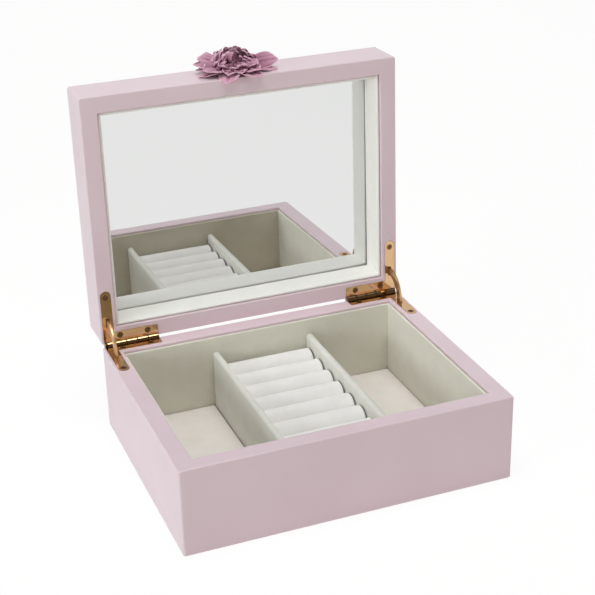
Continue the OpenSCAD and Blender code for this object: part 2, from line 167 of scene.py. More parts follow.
# One broad curl: its angle, and the rest as in a ring
CENTRE_LIP = (215, 5.6, 2.0, 6.2, 14.6, 0.5)
# Curls on the side of the lid's top stand higher and more upright and get painted light, and those by its
# rim stand lower and get painted shade
BACK_RISE = 0.1
BACK_STAND = 0.6
SIDE_PAINTED_LIGHT = 0.5
FRONT_FALL = 0.56

# Lid, drawn shut and then opened about the hinge
HINGE = next(j for j in frame["joints"] if j["name"] == "lid_hinge")
PIN = Vector(HINGE["pos_m"])
OPEN = (
    Matrix.Translation(PIN)
    @ Matrix.Rotation(-math.radians(HINGE["range_deg"][1]), 4, "X")
    @ Matrix.Translation(-PIN)
)
STILL = Matrix.Identity(4)


def node_box(node, place=STILL):
    """Lowest and highest corner of a CAD node in millimetres, in the frame that place is applied to."""
    back = place.inverted()
    corners = [back @ v.co / MM for v in frame["nodes"][node].data.vertices]
    low = Vector(min(c[i] for c in corners) for i in range(3))
    high = Vector(max(c[i] for c in corners) for i in range(3))
    return low, high


# Meshes


def mesh_object(name, points, faces, place=STILL):
    """An object from points in millimetres, put in place."""
    mesh = bpy.data.meshes.new(name)
    mesh.from_pydata([place @ (Vector(p) * MM) for p in points], [], faces)
    mesh.validate()
    obj = bpy.data.objects.new(name, mesh)
    bpy.context.scene.collection.objects.link(obj)
    return obj


def smooth(obj, angle=35):
    """Smooth shading with sharp edges past the angle, and flat faces kept flat."""
    obj.data.shade_smooth()
    obj.data.set_sharp_from_angle(angle=math.radians(angle))
    weighted = obj.modifiers.new("weighted", "WEIGHTED_NORMAL")
    weighted.keep_sharp = True


def settle(obj):
    """Applies the object's modifiers to its mesh."""
    graph = bpy.context.evaluated_depsgraph_get()
    mesh = bpy.data.meshes.new_from_object(obj.evaluated_get(graph))
    obj.modifiers.clear()
    obj.data = mesh


def finish_piece(obj, body, material, slot, *nodes):
    """Gives a piece its material and its body, and hides the CAD nodes that it stands for. slot is not used.
    """
    obj.data.materials.clear()
    obj.data.materials.append(material)
    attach(obj, body)
    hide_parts(*nodes)
    return obj


def prism(outline, low, high):
    """Points and faces of an upright prism over a counter-clockwise outline."""
    count = len(outline)
    points = [(x, y, z) for z in (low, high) for x, y in outline]
    sides = [(i, (i + 1) % count, count + (i + 1) % count, count + i) for i in range(count)]
    return points, [tuple(reversed(range(count))), tuple(range(count, 2 * count)), *sides]


def axis_stops(low, high, radius, cell):
    """Grid lines between two faces, set close together over the rounded edges."""
    tangents = [math.tan(math.radians(a)) for a in (45, 30, 15)]
    start = [low + radius - radius * t for t in tangents]
    end = [high - radius + radius * t for t in reversed(tangents)]
    inner = high - low - 2 * radius
    count = max(1, round(inner / cell))
    middle = [low + radius + inner * i / count for i in range(count + 1)]
    if inner < 0.01:
        middle = [(low + high) / 2]
    return start + middle + end


def slab(name, low, high, radius, cell, shape=None, place=STILL):
    """A gridded box with rounded edges. shape moves a point, given its outward direction."""
    low, high = Vector(low), Vector(high)
    stops = [axis_stops(low[i], high[i], radius, cell) for i in range(3)]
    found, points, faces = {}, [], []

    def index(corner):
        inside = Vector(min(max(corner[i], low[i] + radius), high[i] - radius) for i in range(3))
        outward = (corner - inside).normalized()
        key = tuple(round(c, 4) for c in corner)
        if key not in found:
            found[key] = len(points)
            point = inside + outward * radius
            points.append(shape(point, outward) if shape else point)
        return found[key]

    for k in range(3):
        i, j = (k + 1) % 3, (k + 2) % 3
        for level, flip in ((low[k], True), (high[k], False)):
            for a, a2 in zip(stops[i], stops[i][1:]):
                for b, b2 in zip(stops[j], stops[j][1:]):
                    quad = []
                    for u, v in ((a, b), (a2, b), (a2, b2), (a, b2)):
                        corner = Vector((0, 0, 0))
                        corner[k], corner[i], corner[j] = level, u, v
                        quad.append(index(corner))
                    faces.append(quad[::-1] if flip else quad)
    obj = mesh_object(name, points, faces, place)
    obj.data.shade_smooth()
    return obj


def clone(name, node, radius):
    """A copy of a CAD node's shape with its edges eased."""
    source = frame["nodes"][node].data
    work = bmesh.new()
    work.from_mesh(source)
    bmesh.ops.remove_doubles(work, verts=work.verts, dist=1e-6)
    bmesh.ops.dissolve_limit(work, angle_limit=math.radians(1), verts=work.verts, edges=work.edges)
    work.verts.index_update()
    points = [tuple(v.co / MM) for v in work.verts]
    faces = [[v.index for v in f.verts] for f in work.faces]
    work.free()
    obj = mesh_object(name, points, faces)
    eased = obj.modifiers.new("eased", "BEVEL")
    eased.width = radius * MM
    eased.segments = 2
    eased.limit_method = "ANGLE"
    eased.angle_limit = math.radians(40)
    eased.use_clamp_overlap = True
    settle(obj)
    smooth(obj)
    return obj


# Materials


def srgb(red, green, blue):
    """A linear colour from display values of 0 to 255."""
    def linear(value):
        value /= 255
        return value / 12.92 if value <= 0.04045 else ((value + 0.055) / 1.055) ** 2.4
    return (linear(red), linear(green), linear(blue), 1)


def feed(tree, value, socket):
    """Links another socket into this one, or sets it to a plain value."""
    if hasattr(value, "is_output"):
        tree.links.new(value, socket)
    else:
        socket.default_value = value


def math_node(tree, operation, *values):
    """The result of a Math node on sockets or numbers."""
    made = tree.nodes.new("ShaderNodeMath")
    made.operation = operation
    for value, socket in zip(values, made.inputs):
        feed(tree, value, socket)
    return made.outputs[0]


def mix_colours(tree, factor, first, second):
    """A mix of two colours, each a colour or a socket."""
    made = tree.nodes.new("ShaderNodeMix")
    made.data_type = "RGBA"
    for index, value in ((0, factor), (6, first), (7, second)):
        feed(tree, value, made.inputs[index])
    return made.outputs[2]


def colour_ramp(tree, value, stops):
    """A colour ramp from (position, colour) stops."""
    made = tree.nodes.new("ShaderNodeValToRGB")
    elements = made.color_ramp.elements
    while len(elements) < len(stops):
        elements.new(0.5)
    for element, (position, colour) in zip(elements, stops):
        element.position = position
        element.color = colour
    tree.links.new(value, made.inputs["Fac"])
    return made.outputs["Color"]


def grey(level):
    """A grey as a colour, from its linear level."""
    return (level, level, level, 1)


class Finish:
    """A node material under construction."""

    def __init__(self, name, **constants):
        self.material = bpy.data.materials.new(name)
        self.material.use_nodes = True
        self.tree = self.material.node_tree
        self.shader = self.tree.nodes["Principled BSDF"]
        for socket, value in constants.items():
            self.shader.inputs[socket.replace("_", " ")].default_value = value
        self.place = self.node("ShaderNodeTexCoord").outputs["Object"]

    def node(self, kind, **settings):
        made = self.tree.nodes.new(kind)
        for key, value in settings.items():
            setattr(made, key, value)
        return made

    def link(self, out, into):
        self.tree.links.new(out, into)

    def noise(self, size, detail=3.0, roughness=0.55, stretch=None):
        """Noise whose blotches are about the given size in millimetres."""
        made = self.node("ShaderNodeTexNoise")
        made.inputs["Scale"].default_value = 1 / (size * MM)
        made.inputs["Detail"].default_value = detail
        made.inputs["Roughness"].default_value = roughness
        place = self.place
        if stretch:
            mapping = self.node("ShaderNodeMapping")
            mapping.inputs["Scale"].default_value = stretch
            self.link(place, mapping.inputs["Vector"])
            place = mapping.outputs["Vector"]
        self.link(place, made.inputs["Vector"])
        return made.outputs["Fac"]

    def ramp(self, value, *stops):
        """A colour ramp from (position, colour) stops."""
        return colour_ramp(self.tree, value, stops)

    def scale(self, value, low, high, start=0.0, end=1.0):
        """A value taken from the range start to end into the range low to high."""
        made = self.node("ShaderNodeMapRange")
        for name, number in (("From Min", start), ("From Max", end), ("To Min", low), ("To Max", high)):
            made.inputs[name].default_value = number
        self.link(value, made.inputs["Value"])
        return made.outputs["Result"]

    def mix(self, factor, first, second):
        """A mix of two colours, each a colour or a socket."""
        return mix_colours(self.tree, factor, first, second)

    def math(self, operation, *values):
        """The result of a Math node on sockets or numbers."""
        return math_node(self.tree, operation, *values)

    def colour(self, out):
        self.link(out, self.shader.inputs["Base Color"])

    def rough(self, out):
        self.link(out, self.shader.inputs["Roughness"])

    def bump(self, *layers):
        """Bump from (height socket, depth in millimetres) layers, one on the other."""
        normal = None
        for height, depth in layers:
            made = self.node("ShaderNodeBump")
            made.inputs["Strength"].default_value = 1
            made.inputs["Distance"].default_value = depth * MM
            self.link(height, made.inputs["Height"])
            if normal:
                self.link(normal, made.inputs["Normal"])
            normal = made.outputs["Normal"]
        self.link(normal, self.shader.inputs["Normal"])


def lacquer():
    """Satin pink lacquer over wood, with a faint orange peel."""
    f = Finish("pink_lacquer", Coat_Weight=0.5, Coat_Roughness=0.2, IOR=1.5)
    cloud = f.noise(60, 2)
    f.colour(f.ramp(cloud, (0.3, srgb(228, 206, 213)), (0.7, srgb(232, 211, 217))))
    f.rough(f.scale(f.noise(9, 3), 0.4, 0.5))
    f.bump((f.noise(2.2, 1.5), 0.012), (f.noise(0.5, 2), 0.004))
    return f.material


def suede(name, shade, light):
    """Short suede pile: blotches where the nap lies another way, and fine pile."""
    f = Finish(name, Sheen_Weight=0.35, Sheen_Roughness=0.45, IOR=1.4)
    f.shader.inputs["Specular IOR Level"].default_value = 0.25
    nap_cloud = f.noise(14, 4, 0.6)
    pile = f.noise(0.35, 2, 0.7)
    base = f.ramp(nap_cloud, (0.3, shade), (0.7, light))
    dark = tuple(c * 0.85 for c in light[:3]) + (1,)
    f.colour(f.mix(f.scale(pile, 0.0, 0.35, 0.6, 0.3), base, dark))
    f.rough(f.scale(pile, 0.88, 1.0))
    f.bump((nap_cloud, 0.05), (pile, PILE_DEPTH))
    return f.material


def roll_suede():
    """The rolls' pale suede, with painted shade on their flat ends."""
    material = suede("roll_suede", srgb(240, 238, 233), srgb(247, 245, 240))
    tree = material.node_tree
    shader = tree.nodes["Principled BSDF"]
    end = tree.nodes.new("ShaderNodeAttribute")
    end.attribute_name = "end"
    colour = shader.inputs["Base Color"]
    # the dark colour on the flat ends is painted shade
    mixed = mix_colours(tree, end.outputs["Fac"], colour.links[0].from_socket, srgb(96, 94, 80))
    tree.links.new(mixed, colour)
    return material


def crease_shade_and_joint_tarnish(f):
    """1 where shade is painted in the crease in front of a hinge barrel and where its knuckles' ends are
    tarnished, and 0 elsewhere.
    """
    split = f.node("ShaderNodeSeparateXYZ")
    f.link(f.place, split.inputs[0])
    back = f.math("SUBTRACT", split.outputs["Y"], PIN.y)
    up = f.math("SUBTRACT", split.outputs["Z"], PIN.z)
    across = f.node("ShaderNodeCombineXYZ")
    f.link(back, across.inputs[0])
    f.link(up, across.inputs[1])
    from_pin = f.node("ShaderNodeVectorMath", operation="LENGTH")
    f.link(across.outputs[0], from_pin.inputs[0])
    on_barrel = f.scale(from_pin.outputs["Value"], 1, 0, *(r * MM for r in SHADE_AND_TARNISH_R))
    turn = f.scale(f.math("ARCTAN2", up, back), 0, 1, -math.pi, math.pi)
    # painted shade in the crease in front of the barrel
    crease = f.ramp(turn, *((share, grey(level)) for share, level in CREASE_SHADE))
    outer, inner = (corner.x * MM for corner in node_box("hinge_leaf_base_left"))
    along = f.math("ADD", f.math("ABSOLUTE", split.outputs["X"]), inner)
    to_end = f.math("PINGPONG", along, (inner - outer) / KNUCKLES / 2)
    knuckle_end = f.scale(to_end, 0.9, 0, *(d * MM for d in KNUCKLE_END))
    return f.math("MULTIPLY", on_barrel, f.math("MAXIMUM", crease, knuckle_end))


def brass(name, low, high):
    """Brass with a rose tint, fine wiping marks, painted shade in the crease in front of each barrel and
    tarnish at its knuckles' ends. low and high bound its roughness.
    """
    f = Finish(name, Metallic=1.0)
    cloud = f.noise(7, 3)
    polish = f.ramp(cloud, (0.3, (0.67, 0.42, 0.235, 1)), (0.7, (0.71, 0.485, 0.25, 1)))
    # the dark brown is painted shade in the barrels' creases, and tarnish at the knuckles' ends
    f.colour(f.mix(crease_shade_and_joint_tarnish(f), polish, (0.09, 0.045, 0.02, 1)))
    marks = f.noise(0.25, 2, 0.6, stretch=(0.12, 1, 1))
    f.rough(f.scale(marks, low, high))
    f.bump((f.noise(3.5, 2), 0.012), (marks, 0.0006))
    return f.material


def screw_brass_painted_shade():
    """Brass made dark all over the crossed screw heads, painted shade that stands in for the shade in their
    cross recesses.
    """
    f = Finish("screw_brass_painted_shade", Metallic=1.0)
    # the dark brown is painted shade
    f.colour(f.ramp(f.noise(0.8, 3), (0.3, (0.13, 0.065, 0.028, 1)), (0.7, (0.33, 0.195, 0.095, 1))))
    f.rough(f.scale(f.noise(0.5, 2), 0.25, 0.4))
    f.bump((f.noise(0.4, 2), 0.01))
    return f.material


def mirror():
    """Silvered glass with a trace of green and the faintest wiping haze."""
    f = Finish("mirror_silver", Metallic=1.0)
    f.colour(f.ramp(f.noise(80, 2), (0.2, (0.77, 0.785, 0.775, 1)), (0.8, (0.79, 0.795, 0.79, 1))))
    f.rough(f.scale(f.noise(22, 4), 0.0, 0.02, 0.35, 0.9))
    return f.material


def card():
    """Grey-brown card with short fibres."""
    f = Finish("backing_card", Roughness=0.9)
    fibres = f.noise(0.6, 3, 0.7, stretch=(1, 0.25, 1))
    f.colour(f.ramp(fibres, (0.3, srgb(138, 130, 120)), (0.7, srgb(162, 154, 143))))
    f.bump((fibres, 0.03))
    return f.material


def petal_suede():
    """Mauve suede, from dark roots to pale tips, partly its own tone and partly painted light and shade,
    with painted shade in the creases and fine pile.
    """
    f = Finish("petal_suede", Sheen_Weight=0.3, Sheen_Roughness=0.5)
    f.shader.inputs["Specular IOR Level"].default_value = 0.2
    # The first attribute lightens from the dark roots towards the tips, partly the suede's tone and partly
    # painted light and shade; the second is painted shade in creases and down in the flower
    reach = f.node("ShaderNodeAttribute", attribute_name="reach").outputs["Fac"]
    fold = f.node("ShaderNodeAttribute", attribute_name="fold").outputs["Fac"]
    mottle = f.noise(2.2, 4, 0.6)
    pile = f.noise(0.25, 2, 0.7)
    root, middle = srgb(114, 52, 76), srgb(179, 118, 142)
    blade, tip = srgb(216, 163, 184), srgb(240, 202, 216)
    along = f.ramp(reach, (0.0, root), (0.35, middle), (0.75, blade), (1.0, tip))
    # painted shade in the creases
    creased = f.mix(f.scale(fold, 0.0, 0.9), along, srgb(102, 42, 66))
    f.colour(f.mix(f.scale(mottle, 0.0, 0.35, 0.35, 0.7), creased, srgb(226, 184, 202)))
    f.rough(f.scale(pile, 0.85, 1.0))
    f.bump((mottle, 0.12), (pile, PILE_DEPTH))
    return f.material


LACQUER = lacquer()
LINING = suede("lining_suede", srgb(227, 224, 209), srgb(234, 231, 217))
# A darker, cooler copy of the lining suede for the dividers; its darkening is painted shade
DIVIDER = suede("divider_suede_painted_shade", srgb(219, 218, 208), srgb(227, 226, 217))
# A darker copy of the lining suede: painted shade for the base's front card
SHADED_LINING = suede("lining_suede_painted_shade", srgb(204, 198, 180), srgb(212, 206, 189))
# A paler copy of the lining suede: painted light for the lid's cards, which face the light
LID_LINING = suede("lid_lining_suede_painted_light", srgb(249, 248, 241), srgb(253, 252, 246))
PAD = suede("pad_suede", srgb(233, 226, 219), srgb(241, 234, 228))
ROLL = roll_suede()
BRASS = brass("polished_brass", 0.05, 0.12)
SATIN_BRASS = brass("satin_brass", 0.34, 0.42)
SCREWS = screw_brass_painted_shade()
MIRROR = mirror()
CARD = card()
PETAL = petal_suede()


# Lacquered shells


def round_outline(width, depth, radius):
    """Counter-clockwise points of a centred rectangle with round corners."""
    points = []
    for corner, (sx, sy) in enumerate(((1, 1), (-1, 1), (-1, -1), (1, -1))):
        for i in range(CORNER_STEPS + 1):
            angle = math.radians(90 * (corner + i / CORNER_STEPS))
            points.append((
                sx * (width / 2 - radius) + radius * math.cos(angle),
                sy * (depth / 2 - radius) + radius * math.sin(angle),
            ))
    return points


def fillet(centre_inset, centre_z, radius, start):
    """Quarter round of a profile in (inset, z), beginning at the given angle and turning clockwise."""
    turn = [math.radians(start - 90 * i / EDGE_STEPS) for i in range(EDGE_STEPS + 1)]
    return [(centre_inset + radius * math.cos(a), centre_z + radius * math.sin(a)) for a in turn]


def loft(name, size, profile, closed, place=STILL):
    """Stacks the box's outline along a profile of (inset, z) steps."""
    width, depth = size
    rings = [
        [(x, y, z) for x, y in round_outline(
            width - 2 * inset, depth - 2 * inset, max(CORNER_R - inset, INNER_CORNER_R))]
        for inset, z in profile
    ]
    count = len(rings[0])
    points = [p for ring in rings for p in ring]
    pairs = list(zip(range(len(rings)), range(1, len(rings))))
    if closed:
        pairs.append((len(rings) - 1, 0))
    faces = [
        (a * count + i, a * count + (i + 1) % count, b * count + (i + 1) % count, b * count + i)
        for a, b in pairs for i in range(count)
    ]
    if not closed:
        faces.append(tuple(range(count))[::-1])
        faces.append(tuple((len(rings) - 1) * count + i for i in range(count)))
    return mesh_object(name, points, faces, place)


def leaf_outline(box, grow):
    """The L-shaped leaf seen from above, counter-clockwise, for the left hinge."""
    left, end = box[0].x - grow, box[1].x + grow
    pin_y = PIN.y / MM
    arm = ARM_W / 2
    tip_y = box[0].y + arm
    centre_x = box[0].x + arm
    corner_x = box[1].x - LEAF_CORNER_R
    corner_y = pin_y - LEAF_REACH + LEAF_CORNER_R
    tip = [
        (centre_x + (arm + grow) * math.cos(a), tip_y + (arm + grow) * math.sin(a))
        for a in (math.radians(180 + 15 * i) for i in range(13))
    ]
    free_corner = [
        (corner_x + (LEAF_CORNER_R + grow) * math.cos(a), corner_y + (LEAF_CORNER_R + grow) * math.sin(a))
        for a in (math.radians(270 + 15 * i) for i in range(7))
    ]
    inner = [(centre_x + arm + grow, pin_y - LEAF_REACH - grow)]
    return tip + inner + free_corner + [(end, pin_y + 5), (left, pin_y + 5)]


def hinge_cutters(side, rim, up, place):
    """Solids that cut the leaf's recess, the barrel's groove and the stay's mortise. up is 1 in the base and
    -1 in the lid."""
    box = node_box("hinge_leaf_base_left")
    sign = -1 if side == "right" else 1
    pin_y, pin_z = PIN.y / MM, PIN.z / MM
    barrel_r = (box[1].z - box[0].z) / 2 + BARREL_GAP

    def solid(points, faces):
        moved = [(sign * x, y, pin_z + up * (z - pin_z)) for x, y, z in points]
        turned = [f[::-1] for f in faces] if sign * up < 0 else faces
        return mesh_object("cutter", moved, turned, place)

    depth = up * (pin_z - rim)
    leaf = prism(leaf_outline(box, LEAF_GAP), pin_z - depth - LEAF_T, pin_z + 3)
    centre_x = box[0].x + ARM_W / 2
    mortise = prism([
        (centre_x - MORTISE_W / 2, pin_y - MORTISE_FAR), (centre_x + MORTISE_W / 2, pin_y - MORTISE_FAR),
        (centre_x + MORTISE_W / 2, pin_y - MORTISE_NEAR), (centre_x - MORTISE_W / 2, pin_y - MORTISE_NEAR),
    ], pin_z - MORTISE_DEPTH, pin_z - LEAF_T / 2)
    turn = [math.radians(360 * i / BARREL_STEPS) for i in range(BARREL_STEPS)]
    circle = [(barrel_r * math.cos(a), barrel_r * math.sin(a)) for a in turn]
    tube, faces = prism(circle, box[0].x - LEAF_GAP, box[1].x + LEAF_GAP)
    barrel = [(z, pin_y + x, pin_z + y) for x, y, z in tube], faces
    return [solid(*leaf), solid(*mortise), solid(*barrel)]


def carve(obj, cutters):
    """Takes the cutters out of the object."""
    for cutter in cutters:
        cut = obj.modifiers.new("cut", "BOOLEAN")
        cut.operation = "DIFFERENCE"
        cut.object = cutter
        cut.solver = "EXACT"
    settle(obj)
    for cutter in cutters:
        bpy.data.meshes.remove(cutter.data)


def base_shell():
    """The base's four walls as one lacquered ring."""
    low, high = node_box("base_front_wall")
    side = node_box("base_left_wall")
    wall, top = high.y - low.y, high.z
    size = (-2 * side[0].x, -2 * low.y)
    r, q = OUTER_EDGE_R, RIM_EDGE_R
    profile = [
        *fillet(r, r, r, 270),
        *fillet(r, top - r, r, 180),
        *fillet(wall - q, top - q, q, 90),
        (wall, 0),
    ]
    obj = loft("base_shell", size, profile, closed=True)
    carve(obj, hinge_cutters("left", top, 1, STILL) + hinge_cutters("right", top, 1, STILL))
    smooth(obj)
    walls = [f"base_{name}_wall" for name in ("front", "back", "left", "right")]
    finish_piece(obj, "base", LACQUER, "pink_lacquer", *walls)


def lid_shell():
    """The lid's walls and top board as one lacquered cap, drawn shut and opened."""
    low, high = node_box("lid_front_wall", OPEN)
    side = node_box("lid_left_wall", OPEN)
    top = node_box("lid_top_board", OPEN)[1].z
    wall, rim, ceiling = high.y - low.y, low.z, high.z
    size = (-2 * side[0].x, -2 * low.y)
    r, q = OUTER_EDGE_R, RIM_EDGE_R
    profile = [
        (wall, ceiling),
        *fillet(wall - q, rim + q, q, 360),
        *fillet(r, rim + r, r, 270),
        *fillet(r, top - r, r, 180),
    ]
    obj = loft("lid_shell", size, profile, closed=False, place=OPEN)
    cutters = hinge_cutters("left", rim, -1, OPEN) + hinge_cutters("right", rim, -1, OPEN)
    carve(obj, cutters)
    smooth(obj)
    walls = [f"lid_{name}_wall" for name in ("front", "back", "left", "right")]
    finish_piece(obj, "lid", LACQUER, "pink_lacquer", "lid_top_board", *walls)


# Suede-covered boards, pads and rolls


def uneven(amount, size, seed):
    """A shape for slab: pushes the cover in and out by up to amount, over lumps of the given size."""
    shift = Vector((seed * 37.1, seed * 11.3, seed * 5.7))

    def shape(point, outward):
        return point + outward * amount * (noise.noise(point / size + shift) - 0.6)

    return shape


def covered_board(node, body, radius, seed, place=STILL, material=LINING, run=0, drop=0):
    """A card or board in its suede, with soft edges. run takes its ends into the cards that they meet, and
    drop lowers its upper edge, which in the shut lid is the one next to the mirror."""
    low, high = node_box(node, place)
    low.y, high.y, high.z = low.y - run, high.y + run, high.z - drop
    waves = uneven(CARD_WAVE, CARD_WAVE_SIZE, seed)
    obj = slab(node + "_cover", low, high, radius, CARD_CELL, waves, place)
    finish_piece(obj, body, material, "lining_suede", node)


def floor_pad(node, seed):
    """A thin padded card: crowned, with its edges drawn down."""
    low, high = node_box(node)
    centre, half = (low + high) / 2, (high - low) / 2
    lumps = uneven(PAD_WAVE, PAD_WAVE_SIZE, seed)

    def shape(point, outward):
        u, v = (point.x - centre.x) / half.x, (point.y - centre.y) / half.y
        crown = (1 - u ** 6) * (1 - v ** 8)
        if point.z > centre.z:
            point = Vector((point.x, point.y, point.z - PAD_CROWN * (1 - crown)))
            point = lumps(point, Vector((0, 0, max(0, outward.z))))
        return point

    obj = slab(node + "_cover", low, high, PAD_EDGE_R, PAD_CELL, shape)
    finish_piece(obj, "base", PAD, "lining_suede", node)


def ring_roll(number):
    """A foam roll in suede: round ends, flat where it lies, slightly uneven along its length."""
    node = f"ring_roll_{number}"
    low, high = node_box(node)
    radius = (high.y - low.y) / 2
    centre_y, centre_z = (low.y + high.y) / 2, high.z - radius
    edge = ROLL_EDGE_R
    round_end = [
        (edge * (1 - math.cos(math.radians(a))), radius - edge + edge * math.sin(math.radians(a)))
        for a in (0, 22, 45, 68, 90)
    ]
    caps = [(0.5, 0.8), (0.2, 3.5), (0, radius - edge - 1.2)]
    length = high.x - low.x
    stops = [length * i / ROLL_STRETCHES for i in range(1, ROLL_STRETCHES)]
    along = [(x, radius) for x in stops if edge < x < length - edge]
    left = caps + round_end
    stations = left + along + [(length - x, r) for x, r in reversed(left)]
    around = ROLL_STEPS
    points, faces = [], []
    for x, r in stations:
        for i in range(around):
            angle = 2 * math.pi * i / around
            y, z = r * math.cos(angle), r * math.sin(angle)
            lump = noise.noise(Vector((x / 14, y / 9, z / 9 + number * 7.3)))
            squeeze = 1 - (0.008 + 0.012 * (lump + 0.5) * (r / radius))
            y, z = y * squeeze, z * squeeze
            points.append((low.x + x, centre_y + y, max(centre_z + z, low.z)))
    for a in range(len(stations) - 1):
        for i in range(around):
            j = (i + 1) % around
            faces.append((a * around + i, a * around + j, (a + 1) * around + j, (a + 1) * around + i))
    faces.append(tuple(range(around)))
    faces.append(tuple((len(stations) - 1) * around + i for i in range(around))[::-1])
    obj = mesh_object(node + "_cover", points, faces)
    # 1 on the flat ends, where shade is painted
    foam = [float(r < radius - END_SHADE_INSET) for x, r in stations for i in range(around)]
    obj.data.attributes.new("end", "FLOAT", "POINT").data.foreach_set("value", foam)
    obj.data.flip_normals()
    obj.data.shade_smooth()
    finish_piece(obj, "base", ROLL, "roll_suede", node)


# Hinges


def hinge_part(node, body, radius, material=BRASS):
    """A hinge's leaf, pin, stay or screws with eased edges."""
    obj = clone(node + "_finished", node, radius)
    finish_piece(obj, body, material, "polished_brass", node)


# Mirror


def mirror_glass():
    """The mirror's glass with a ground edge."""
    low, high = node_box("mirror_glass", OPEN)
    centre = Matrix.Translation((low + high) / 2 * MM)
    pitch = Matrix.Rotation(math.radians(MIRROR_PITCH), 4, "X")
    yaw = Matrix.Rotation(math.radians(MIRROR_YAW), 4, "Y")
    askew = OPEN @ centre @ pitch @ yaw @ centre.inverted()
    obj = slab("mirror_plate", low, high, GLASS_EDGE_R, MIRROR_CELL, place=askew)
    smooth(obj, 60)
    finish_piece(obj, "lid", MIRROR, "mirror_glass", "mirror_glass")


# Flower


DISC = node_box("flower_backing_disc", OPEN)
FLOWER = (
    OPEN
    @ Matrix.Translation(Vector((0, DISC[1].y, (DISC[0].z + DISC[1].z) / 2)) * MM)
    @ Matrix.Rotation(math.radians(90), 4, "X")
)


class Sheets:
    """Strips and petals gathered into one mesh, with each point's tone and painted light, and the painted
    shade of its folds.
    """

    def __init__(self):
        self.points, self.faces, self.reach, self.fold = [], [], [], []

    def add(self, grid, turn):
        """grid is rows of (x, y, z, reach, fold) in the petal's own frame."""
        start, columns = len(self.points), len(grid[0])
        c, s = math.cos(math.radians(turn)), math.sin(math.radians(turn))
        for row in grid:
            for x, y, z, reach, fold in row:
                self.points.append((x * c - y * s, x * s + y * c, z))
                self.reach.append(reach)
                self.fold.append(fold)
        for i in range(len(grid) - 1):
            for j in range(columns - 1):
                a = start + i * columns + j
                self.faces.append((a, a + columns, a + columns + 1, a + 1))

    def piece(self, name, node):
        """The gathered strips as one piece with some thickness."""
        obj = mesh_object(name, self.points, self.faces, FLOWER)
        for attribute, values in (("reach", self.reach), ("fold", self.fold)):
            layer = obj.data.attributes.new(attribute, "FLOAT", "POINT")
            layer.data.foreach_set("value", values)
        solid = obj.modifiers.new("thickness", "SOLIDIFY")
        solid.thickness = PETAL_T * MM
        solid.offset = 0
        rounder = obj.modifiers.new("rounder", "SUBSURF")
        rounder.levels = rounder.render_levels = 1
        settle(obj)
        obj.data.shade_smooth()
        return finish_piece(obj, "lid", PETAL, "petal_suede", node)


def petal(shape, root_z, rng, ruffle=1):
    """One petal: pleated from its root, cupped and rolled, with a wavy edge and a round tip. ruffle scales
    its pleats."""
    turn, radius, half_width, tip_z, roll, cup, roundness = shape
    rows, columns = 18, 16
    pleats = rng.choice((2.5, 3.0, 3.5))
    phase, wave_phase = rng.uniform(0, 6.3), rng.uniform(0, 6.3)
    tip_turn = rng.uniform(-0.9, 0.9)
    shift = Vector((rng.uniform(0, 90), rng.uniform(0, 90), 0))
    grid = []
    for i in range(rows + 1):
        u = i / rows
        share = 0.42 + 0.58 * math.sin(math.pi / 2 * min(1, u / 0.6))
        share *= math.sqrt(1 - roundness * max(0, (u - 0.55) / 0.45) ** 2)
        lean = math.radians(roll) * min(1, u / 0.45)
        fade = math.sin(math.pi * min(1, 0.15 + 0.85 * u)) ** 0.6
        line = []
        for j in range(columns + 1):
            v = 2 * j / columns - 1
            x = PETAL_ROOT_R + (radius - PETAL_ROOT_R) * u * (1 - 0.2 * v * v * u ** 3)
            x += 0.45 * math.sin(5 * v + wave_phase) * u ** 3
            crease = math.sin(pleats * math.pi * v + phase)
            across = half_width * share * v
            veins = noise.noise(Vector((x / 9, across / 1.6, 0)) + shift)
            up = cup * v * v * u * (1.6 - u) + ruffle * (0.5 * crease + 0.7 * veins) * fade
            up += 0.6 * v * v * math.sin(4.5 * u + wave_phase + 2 * v) * u
            rise = (tip_z - root_z) * u ** 1.4 + tip_turn * max(0, u - 0.75) * 4 * u
            y = across * math.cos(lean) - up * math.sin(lean)
            z = root_z + rise + across * math.sin(lean) + up * math.cos(lean)
            # deep paints shade in the pleats' valleys and the veins' hollows; the fourth value lightens the
            # petal towards its tip and edges, partly its tone and partly painted light
            deep = ruffle * (max(0, -crease) * 0.7 + max(0, -veins) * 2.2)
            line.append((x, y, z, min(1, 0.8 * u + 0.3 * v ** 4), deep * fade * (1 - 0.4 * u)))
        grid.append(line)
    return grid, turn


def bezier(path, t):
    """A point (radius, height) on a curl's centre line, and its direction."""
    p = [Vector(q) for q in path]
    s = 1 - t
    point = s ** 3 * p[0] + 3 * s * s * t * p[1] + 3 * s * t * t * p[2] + t ** 3 * p[3]
    tangent = s * s * (p[1] - p[0]) + 2 * s * t * (p[2] - p[1]) + t * t * (p[3] - p[2])
    return point, tangent.normalized()


